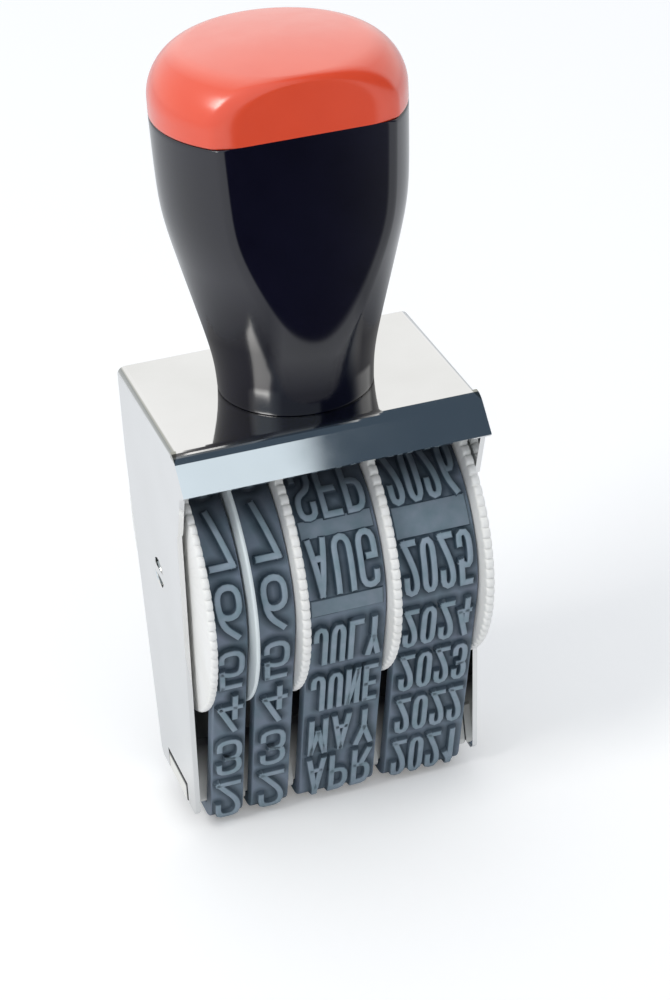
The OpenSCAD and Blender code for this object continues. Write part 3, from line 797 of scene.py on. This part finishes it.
def dress_node(node, material, edge):
    """Give a CAD node a material, join its loose triangles and round its sharp edges by a small bevel."""
    piece = frame["nodes"][node]
    for material_slot in piece.material_slots:
        material_slot.material = material
    join = piece.modifiers.new("join", "WELD")
    join.merge_threshold = JOIN_GAP
    soften = piece.modifiers.new("soften", "BEVEL")
    soften.width = edge * MM
    soften.segments = 2
    soften.limit_method = "ANGLE"
    soften.angle_limit = EDGE_ANGLE
    soften.harden_normals = True


make_grip(black_plastic)
make_cap(red_plastic)
make_band("tens_band", DAY_WORDS, DAY_BARS, TENS_ROW, rubber)
make_band("units_band", DAY_WORDS, DAY_BARS, UNITS_ROW, rubber)
make_band("month_band", MONTH_WORDS, MONTH_BARS, MONTH_ROW, rubber)
make_band("year_band", YEAR_WORDS, YEAR_BARS, YEAR_ROW, rubber)
make_wheel("tens_wheel", True, white_plastic, TENS_SET_IN)
make_wheel("units_wheel", False, white_plastic)
make_wheel("month_wheel", False, white_plastic)
make_wheel("year_wheel", False, white_plastic)
make_separator("band_separator", clear_white)
dress_node("frame", frame_nickel, SHEET_EDGE)
dress_node("wheel_axle", nickel, FITTING_EDGE)
dress_node("handle_screw", dark_steel, FITTING_EDGE)
dress_node("lock_washer", dark_steel, FITTING_EDGE)
dress_node("bridge", bridge_plastic, BRIDGE_EDGE)

# Camera at the photograph's angle: turned, raised and slightly rolled
CAMERA_AT = (-66.36, -221.36, 164.61)
CAMERA_TURN = math.radians(-17.452)
CAMERA_RAISE = math.radians(29.877)
CAMERA_ROLL = math.radians(-3.242)
CAMERA_LENS = 98.606
CAMERA_SENSOR = 36
CAMERA_NEAR = 10

# Floor, in millimetres: the dark patch that reflections see lies ahead of a line across, right of the middle
# and left of a slanting line, which is found by X plus a share of Y
FLOOR_REACH = 1500
FLOOR_DROP = 0.02
FLOOR_GLOW = 0.2
PATCH_AHEAD_Y = (-88, -80)
PATCH_LEFT_X = (-5, 5)
PATCH_RIGHT = (-5, 20)
PATCH_SLANT = 0.38

# Tent, by the direction looked in, and the key lamp, in metres
FRONT_Y = (-0.3, 0.0)
OPENING_X = (0.253, 0.259)
RIDGE_LEFT_X = (0.15, 0.19)
RIDGE_RIGHT_X = (0.33, 0.36)
RIDGE_Z = (0.8, 0.812)
WHITE = (1, 1, 1)
KEY_AT = (-0.46, -0.16, 0.56)
KEY_AIM = (0.0, 0.0, 0.04)
KEY_SIZE = 0.24
KEY_POWER = 1.7
KEY_COLOUR = (1.0, 0.98, 0.95)


def make_camera():
    """Camera whose axes are the turned right, up and back directions, rolled about its own sight line."""
    right = np.array([math.cos(CAMERA_TURN), math.sin(CAMERA_TURN), 0])
    level = math.cos(CAMERA_RAISE)
    back = np.array([math.sin(CAMERA_TURN) * level, -math.cos(CAMERA_TURN) * level, math.sin(CAMERA_RAISE)])
    up = np.cross(back, right)
    rolled_right = math.cos(CAMERA_ROLL) * right + math.sin(CAMERA_ROLL) * up
    rolled_up = math.cos(CAMERA_ROLL) * up - math.sin(CAMERA_ROLL) * right
    place = np.eye(4)
    place[:3] = np.stack([rolled_right, rolled_up, back, np.array(CAMERA_AT) * MM], 1)
    data = bpy.data.cameras.new("camera")
    data.lens = CAMERA_LENS
    data.sensor_width = CAMERA_SENSOR
    data.clip_start = CAMERA_NEAR * MM
    camera = bpy.data.objects.new("camera", data)
    camera.matrix_world = Matrix(place.tolist())
    bpy.context.scene.collection.objects.link(camera)
    bpy.context.scene.camera = camera


def make_floor():
    """Pale floor that glows faintly for the camera alone, so that it is white where nothing shades it.
    Reflections see a dark patch on it, which keeps the flat panel of the handle dark."""
    reach = FLOOR_REACH * MM
    mesh = bpy.data.meshes.new("floor")
    mesh.from_pydata([(-reach, -reach, 0), (reach, -reach, 0), (reach, reach, 0), (-reach, reach, 0)],
                     [], [(0, 1, 2, 3)])
    floor = bpy.data.objects.new("floor", mesh)
    floor.location.z = -FLOOR_DROP * MM
    bpy.context.scene.collection.objects.link(floor)
    material = bpy.data.materials.new("pale_floor")
    material.use_nodes = True
    tree = material.node_tree
    shader = tree.nodes["Principled BSDF"]
    shader.inputs["Roughness"].default_value = 0.9
    shader.inputs["Specular IOR Level"].default_value = 0.0
    path = add(tree, "ShaderNodeLightPath").outputs
    spot = parts_of(tree, "Object")
    slant = sum_up(tree, "MULTIPLY_ADD", spot["Y"], PATCH_SLANT, spot["X"])
    ahead = across(tree, spot["Y"], 1, 0, PATCH_AHEAD_Y)
    left = across(tree, spot["X"], 0, 1, PATCH_LEFT_X)
    right = across(tree, slant, 1, 0, PATCH_RIGHT)
    patch = times(tree, ahead, times(tree, left, right))
    mirrored = times(tree, patch, path["Is Glossy Ray"])
    tree.links.new(tinted(tree, mirrored, (0.9, 0.9, 0.9), (0.012, 0.012, 0.04)), shader.inputs["Base Color"])
    shader.inputs["Emission Color"].default_value = (1, 0.97, 0.93, 1)
    glow = between(tree, path["Is Camera Ray"], 0, FLOOR_GLOW, 0, 1)
    tree.links.new(glow, shader.inputs["Emission Strength"])
    mesh.materials.append(material)


def make_world():
    """White tent. The camera sees it white. Reflections see it pale, bluish in front, with a dark opening
    in front on the right and a dark ridge high up. All else gets an even light that grows towards the top."""
    world = bpy.data.worlds.new("studio")
    world.use_nodes = True
    bpy.context.scene.world = world
    tree = world.node_tree
    shader = tree.nodes["Background"]
    path = add(tree, "ShaderNodeLightPath").outputs
    way = parts_of(tree, "Generated")
    front = between(tree, way["Y"], 1, 0, *FRONT_Y)
    opening = times(tree, front, between(tree, way["X"], 0, 1, *OPENING_X))
    ridge_left = between(tree, way["X"], 0, 1, *RIDGE_LEFT_X)
    ridge_right = between(tree, way["X"], 1, 0, *RIDGE_RIGHT_X)
    ridge = times(tree, times(tree, ridge_left, ridge_right), between(tree, way["Z"], 0, 1, *RIDGE_Z))
    pale = tinted(tree, front, (0.98, 0.98, 0.97), (0.76, 0.87, 0.95))
    mirrored = tinted(tree, larger(tree, opening, ridge), pale, (0.055, 0.08, 0.11))
    even = tinted(tree, between(tree, way["Z"], 0, 1, 0, 1), (0.43, 0.45, 0.475), (0.84, 0.88, 0.93))
    for_gloss = tinted(tree, path["Is Glossy Ray"], even, mirrored)
    seen = tinted(tree, path["Is Camera Ray"], for_gloss, WHITE)
    through = tinted(tree, path["Is Transmission Ray"], seen, WHITE)
    tree.links.new(through, shader.inputs["Color"])


def make_lamp(name, place, size, power, colour):
    """Square soft lamp that faces the middle of the object."""
    data = bpy.data.lights.new(name, "AREA")
    data.size = size
    data.energy = power
    data.color = colour
    lamp = bpy.data.objects.new(name, data)
    back = np.array(place) - np.array(KEY_AIM)
    back /= np.linalg.norm(back)
    right = np.cross([0, 0, 1], back)
    right /= np.linalg.norm(right)
    turn = np.eye(4)
    turn[:3] = np.stack([right, np.cross(back, right), back, np.array(place)], 1)
    lamp.matrix_world = Matrix(turn.tolist())
    bpy.context.scene.collection.objects.link(lamp)


make_camera()
make_floor()
make_world()
make_lamp("key", KEY_AT, KEY_SIZE, KEY_POWER, KEY_COLOUR)

bpy.context.scene.view_settings.view_transform = "Standard"

bpy.context.view_layer.update()
